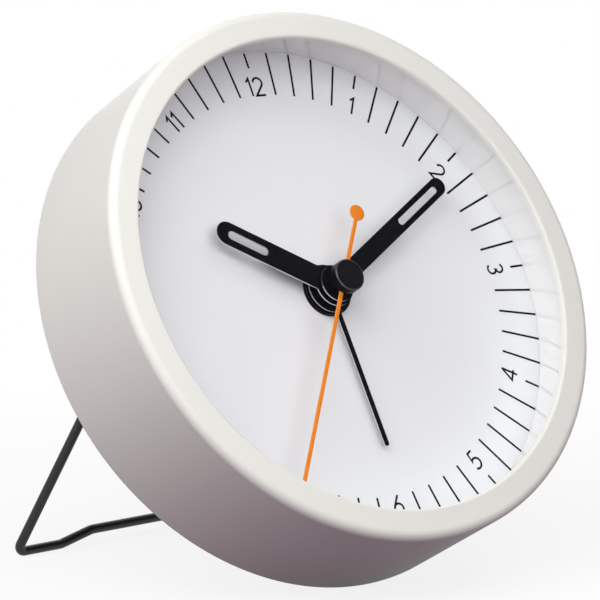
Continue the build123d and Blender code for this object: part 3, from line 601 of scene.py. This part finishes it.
def printed(lines, stroke):
    """Lines as print that lies on the plane of the dial."""
    return joined(*[ribbon(line, stroke, -print_sink, print_lift) for line in lines])


def printed_text(text, height, stroke):
    """A number or a word in print, upright about its own middle."""
    signs = [SIGN_SHARES[sign] for sign in text]
    width = sum(sign[0] for sign in signs) + digit_gap_share * (len(signs) - 1)
    left = -width / 2
    placed = []
    for sign_width, lines in signs:
        placed += [[((left + x) * height, (y - 0.5) * height) for x, y in line] for line in lines]
        left += sign_width + digit_gap_share
    return printed(placed, stroke)


def hour_numbers():
    numbers = []
    for hour in range(1, hours + 1):
        angle = 360 / hours * hour
        turn = angle + 180 if hour in upright_hours else angle
        number = printed_text(str(hour), number_height, number_stroke)
        numbers.append(moved(number, (*on_dial(angle, number_radius), 0), turn))
    return joined(*numbers)


for name, form in (("minute_marks", minute_marks()), ("hour_numbers", hour_numbers())):
    form = moved(form, (*print_shift, 0), print_turn)
    new_piece(name, form, [paint["dial_ink"]], "case")


# Hands
def circle(radius, steps=HOLE_STEPS):
    return arc((0, 0), radius, 0, 360 - 360 / steps, steps - 1)


def bar_outline(width, start, end, steps=SLOT_STEPS):
    """A bar towards 12 with round ends."""
    half = width / 2
    return arc((0, end - half), half, 0, 180, steps) + arc((0, start + half), half, 180, 360, steps)


def hub_and_bar(hub, width, length, tail=None):
    """The rim of a round hub with a bar out to 12, and with a round counterweight where there is a tail."""
    half = width / 2
    join = math.degrees(math.asin(half / hub))
    tip = arc((0, length - half), half, 0, 180, TIP_STEPS)
    if tail is None:
        return tip + arc((0, 0), hub, 90 + join, 450 - join, HUB_STEPS)
    tail_join = math.degrees(math.asin(half / tail["radius"]))
    left = arc((0, 0), hub, 90 + join, 270 - join, HALF_HUB_STEPS)
    weight_middle = (0, -tail["distance"])
    weight = arc(weight_middle, tail["radius"], 90 + tail_join, 450 - tail_join, WEIGHT_STEPS)
    right = arc((0, 0), hub, 270 + join, 450 - join, HALF_HUB_STEPS)
    return tip + left + weight + right


def hand_form(hand, slot=None, tail=None):
    outlines = [hub_and_bar(hand["hub"], hand["width"], hand["length"], tail), circle(hand["hole"])]
    if slot is not None:
        start, end, width = slot
        outlines.append(bar_outline(width, start, end))
    form = sheet_form(outlines, hand["low"], hand["thick"], hand_edge)
    return moved(edge_walls(form), turn=hand["angle"])


def collar_form():
    """The black collar under the hour hand."""
    soft = small_round
    outer = hour_collar["radius"]
    hole = hour_collar["hole"]
    low = hour_collar["low"]
    high = hour_hand["low"]
    profile = [(hole, low), (outer - soft, low), (outer, low + soft), (outer, high), (hole, high)]
    return lathe(profile, steps=SMALL_ROUND_STEPS)


def cap_profile():
    top = arc((cap_radius - cap_round, cap_top - cap_round), cap_round, 90, 0)
    low = [(cap_radius, cap_low + small_round), (cap_radius - small_round, cap_low), (0, cap_low)]
    return [(0, cap_top)] + top + low


black_sheet = [paint["hand_black"], paint["hand_edge"]]
orange_sheet = [paint["hand_orange"], paint["orange_edge"]]
cap_sheet = [paint["cap_black"], paint["cap_rim"]]
alarm_form = hand_form(alarm_hand)
hour_form = joined(hand_form(hour_hand, hour_slot), collar_form())
minute_form = hand_form(minute_hand, minute_slot)
seconds_form = hand_form(seconds_hand, tail=counterweight)
cap_form = edge_rim(lathe(cap_profile(), closed=False, steps=SMALL_ROUND_STEPS))
for name, form, sheet, body, slot, node in (
    ("alarm_pointer", alarm_form, black_sheet, "alarm_hands", "hand_black", "alarm_hand"),
    ("hour_pointer", hour_form, black_sheet, "hour_hands", "hand_black", "hour_hand"),
    ("minute_pointer", minute_form, black_sheet, "minute_hands", "hand_black", "minute_hand"),
    ("seconds_pointer", seconds_form, orange_sheet, "seconds_hands", "hand_orange", "seconds_hand"),
):
    new_piece(name, form, sheet, body, [node], HAND_SHARP_ANGLE)
new_piece("hands_cap", cap_form, cap_sheet, "seconds_hands", ["seconds_cap"])


# Wire stand
def rounded_path(points, radii, steps=BEND_STEPS):
    """A path of straight runs, its corners rounded by tangent arcs."""
    path = [Vector(points[0])]
    for before, corner, after, radius in zip(points, points[1:], points[2:], radii):
        corner = Vector(corner)
        back = (Vector(before) - corner).normalized()
        ahead = (Vector(after) - corner).normalized()
        half = back.angle(ahead) / 2
        middle = corner + (back + ahead).normalized() * radius / math.sin(half)
        start = (corner + back * radius / math.tan(half) - middle).normalized()
        end = (corner + ahead * radius / math.tan(half) - middle).normalized()
        for step in range(steps + 1):
            path.append(middle + radius * start.slerp(end, step / steps))
    return path + [Vector(points[-1])]


def wire_form():
    half = [
        (wire_tail_end, 0, 0),
        (pivot_half_span, 0, 0),
        (foot_half_span, -leg_reach, 0),
        (foot_half_span - foot_flat, -leg_reach, 0),
        (foot_half_span - foot_flat - jog_run, jog_rise - leg_reach, 0),
    ]
    points = [(-x, y, z) for x, y, z in half] + half[::-1]
    bm = tube(rounded_path(points, wire_bends + wire_bends[::-1]), wire_radius)
    pivot = TO_DIAL @ Vector(joints["stand_fold"]["pos_m"])
    bm.transform(Matrix.Translation(pivot) @ Matrix.Rotation(math.radians(opening_angle), 4, "X"))
    return bm


new_piece("stand_frame", wire_form(), [paint["wire_dark"]], "stand", ["stand_wire"])


# Setting knobs
def knob_form():
    """A knurled knob with a dished end, drawn at the dial's middle."""
    flat = knob_radius - knob_round
    front = [(0, -knob_front), (flat, -knob_front), (knob_radius, -knob_front - knob_round)]
    rear = arc((flat, knob_round - knob_rear), knob_round, 0, -90, KNOB_EDGE_STEPS)
    floor = knob_dish_depth - knob_rear
    dish = [(knob_dish_radius + knob_dish_depth, -knob_rear), (knob_dish_radius, floor), (0, floor)]
    bm = lathe(front + rear + dish, closed=False, steps=knob_teeth * TOOTH_STEPS)
    for vert in bm.verts:
        radius = math.hypot(vert.co.x, vert.co.y)
        if radius > flat - knob_tooth_depth:
            wave = 0.5 - 0.5 * math.cos(knob_teeth * math.atan2(vert.co.y, vert.co.x))
            share = 1 - knob_tooth_depth / radius * wave ** 2
            vert.co.x *= share
            vert.co.y *= share
    return bm


def behind(bm, x, y):
    """Print that was drawn at the dial's middle, set on the back cover so that it reads from behind."""
    bm.transform(Matrix.Translation((x, y, -cover_rear)) @ Matrix.Rotation(math.pi, 4, "Y"))
    return bm


def turn_arrow():
    """An arc over a knob, with a head at its end."""
    sweep = arc((0, 0), arrow_radius, *arrow_sweep, ARROW_STEPS)
    tip = Vector(sweep[-1])
    back = (Vector(sweep[-2]) - tip).normalized() * arrow_head
    turns = [Matrix.Rotation(math.radians(angle), 2) for angle in (arrow_spread, -arrow_spread)]
    head = [tuple(tip + turns[0] @ back), tuple(tip), tuple(tip + turns[1] @ back)]
    return [sweep, head]


def sized(lines, size, height):
    """Lines in shares of a size, moved up by a height."""
    return [[(x * size, y * size + height) for x, y in line] for line in lines]


# Signs over the knobs, in shares of their radius
bell = [(-1.0, -0.7), (-0.7, -0.3)] + arc((0, 0.15), 0.7, 180, 0, 12)
bell += [(0.7, -0.3), (1.0, -0.7), (-1.0, -0.7)]
bell_lines = [bell, arc((0, -0.8), 0.28, 200, 340, 6)]
dial_lines = [arc((0, 0), 1.0, 0, 360, 24), [(0, 0.62), (0, 0), (0.42, 0.26)]]
cover_print = []
for joint, node, body, sign in (
    ("time_knob_turn", "time_set_knob", "time_setting", dial_lines),
    ("alarm_knob_turn", "alarm_set_knob", "alarm_setting", bell_lines),
):
    axis = TO_DIAL @ Vector(joints[joint]["pos_m"])
    form = moved(knob_form(), (axis.x, axis.y, 0))
    new_piece(f"{node}_grip", form, [paint["knob_grey"]], body, [node])
    lines = turn_arrow() + sized(sign, sign_radius, sign_height)
    cover_print.append(behind(printed(lines, cover_stroke), axis.x, axis.y))
for word, side in (("ON", 1), ("OFF", -1)):
    sign = printed_text(word, word_height, cover_stroke)
    cover_print.append(behind(sign, side * word_distance, switch_height))
new_piece("cover_signs", joined(*cover_print), [paint["cover_ink"]], "case")

# Nodes that keep their own shape, and the finish that each one gets
# The bush nut and the seconds pipe take the cap's black, so the ring round the foot of the hubs and the pipe
# under the cap show dark.
kept_finishes = {
    "bush_nut": "cap_black",
    "seconds_pipe": "cap_black",
    "alarm_wheel": "gear_plastic",
    "hour_wheel": "gear_plastic",
    "minute_wheel": "brass",
    "seconds_wheel": "gear_plastic",
    "third_wheel": "gear_plastic",
    "transfer_wheel": "gear_plastic",
    "intermediate_wheel": "gear_plastic",
    "rotor": "iron",
    "movement_frame": "frame_plastic",
    "rear_plate": "frame_plastic",
    "movement_screws": "screw_steel",
    "cover_screws": "screw_steel",
    "stator": "iron",
    "coil_core": "iron",
    "coil_bobbin": "frame_plastic",
    "coil_winding": "copper",
    "circuit_board": "board_green",
    "chip_cover": "resin_black",
    "quartz_crystal": "can_silver",
    "buzzer": "resin_black",
    "alarm_set_shaft": "gear_plastic",
    "time_set_shaft": "gear_plastic",
    "alarm_contact": "brass",
    "positive_contact": "can_silver",
    "negative_contact": "can_silver",
    "battery": "battery_skin",
    "alarm_switch": "switch_orange",
    "battery_door": "cover_black",
    "back_cover": "cover_black",
}
for node, finish in kept_finishes.items():
    shown = frame["nodes"][node]
    shown.data.materials.clear()
    shown.data.materials.append(paint[finish])


# Floor, light and camera
def seen_ray(nodes, links):
    """1 for the rays that show the background: straight to the camera, mirrored or through clear plastic."""
    path = nodes.new("ShaderNodeLightPath")
    seen = path.outputs["Is Camera Ray"]
    for kind in ("Is Glossy Ray", "Is Transmission Ray"):
        either = nodes.new("ShaderNodeMath")
        either.operation = "MAXIMUM"
        links.new(seen, either.inputs[0])
        links.new(path.outputs[kind], either.inputs[1])
        seen = either.outputs[0]
    return seen


def floor_material():
    """A pale floor that fades to white away from the clock, and throws back only a little light."""
    material, nodes, links, shader, place = node_material("floor")
    seen = seen_ray(nodes, links)
    drift = noise(nodes, links, place, floor_patch)
    pale = ramp(nodes, links, drift, *floor_tones)
    shade = nodes.new("ShaderNodeMix")
    shade.data_type = "RGBA"
    shade.inputs["A"].default_value = (*floor_bounce, 1)
    links.new(seen, shade.inputs["Factor"])
    links.new(pale, shade.inputs["B"])
    links.new(shade.outputs["Result"], shader.inputs["Base Color"])
    shader.inputs["Roughness"].default_value = floor_roughness
    shader.inputs["Specular IOR Level"].default_value = 0.0
    distance = nodes.new("ShaderNodeVectorMath")
    distance.operation = "LENGTH"
    links.new(place, distance.inputs[0])
    fade = nodes.new("ShaderNodeMapRange")
    fade.inputs["From Min"].default_value = floor_near
    fade.inputs["From Max"].default_value = floor_far
    fade.inputs["To Min"].default_value = floor_glow
    links.new(distance.outputs["Value"], fade.inputs["Value"])
    share = nodes.new("ShaderNodeMath")
    share.operation = "MULTIPLY"
    links.new(seen, share.inputs[0])
    links.new(fade.outputs["Result"], share.inputs[1])
    white = nodes.new("ShaderNodeEmission")
    mix = nodes.new("ShaderNodeMixShader")
    links.new(share.outputs[0], mix.inputs["Fac"])
    links.new(shader.outputs["BSDF"], mix.inputs[1])
    links.new(white.outputs["Emission"], mix.inputs[2])
    links.new(mix.outputs["Shader"], nodes["Material Output"].inputs["Surface"])
    return material


def add_floor():
    bm = bmesh.new()
    bmesh.ops.create_grid(bm, x_segments=floor_squares, y_segments=floor_squares, size=floor_size)
    mesh = bpy.data.meshes.new("floor")
    bm.to_mesh(mesh)
    bm.free()
    mesh.materials.append(floor_material())
    floor = bpy.data.objects.new("floor", mesh)
    bpy.context.scene.collection.objects.link(floor)


def add_world():
    """White where the background is seen, and a soft even light on the clock."""
    world = bpy.data.worlds.new("studio")
    bpy.context.scene.world = world
    world.use_nodes = True
    nodes = world.node_tree.nodes
    links = world.node_tree.links
    soft = nodes["Background"]
    soft.inputs["Color"].default_value = (*ambient_colour, 1)
    soft.inputs["Strength"].default_value = ambient_level
    white = nodes.new("ShaderNodeBackground")
    white.inputs["Color"].default_value = (1, 1, 1, 1)
    white.inputs["Strength"].default_value = 1.0
    mix = nodes.new("ShaderNodeMixShader")
    links.new(seen_ray(nodes, links), mix.inputs["Fac"])
    links.new(soft.outputs["Background"], mix.inputs[1])
    links.new(white.outputs["Background"], mix.inputs[2])
    links.new(mix.outputs["Shader"], nodes["World Output"].inputs["Surface"])


def add_lamp(name, towards, distance, size, level):
    """A square soft lamp that faces the clock. At level 1 it shows a white face as white."""
    lamp = bpy.data.lights.new(name, "AREA")
    lamp.shape = "SQUARE"
    lamp.size = size
    lamp.energy = level * (math.pi * distance) ** 2
    lamp.color = lamp_colour
    holder = bpy.data.objects.new(name, lamp)
    ray = Vector(towards).normalized()
    holder.location = CENTRE + ray * distance
    holder.rotation_mode = "QUATERNION"
    holder.rotation_quaternion = (-ray).to_track_quat("-Z", "Y")
    bpy.context.scene.collection.objects.link(holder)


def add_camera():
    camera = bpy.data.cameras.new("camera")
    camera.lens = camera_lens
    camera.sensor_width = camera_sensor
    camera.clip_start, camera.clip_end = camera_clip
    holder = bpy.data.objects.new("camera", camera)
    holder.location = CLOCK @ Vector(camera_place)
    turned = CLOCK.to_3x3().normalized()
    back = turned @ -Vector(camera_ahead)
    up = turned @ Vector(camera_up)
    holder.rotation_mode = "QUATERNION"
    holder.rotation_quaternion = Matrix((up.cross(back), up, back)).transposed().to_quaternion()
    bpy.context.scene.collection.objects.link(holder)
    bpy.context.scene.camera = holder


add_floor()
add_world()
for lamp_name, lamp_setting in LAMPS.items():
    add_lamp(lamp_name, *lamp_setting)
add_camera()
bpy.context.scene.view_settings.view_transform = "Standard"
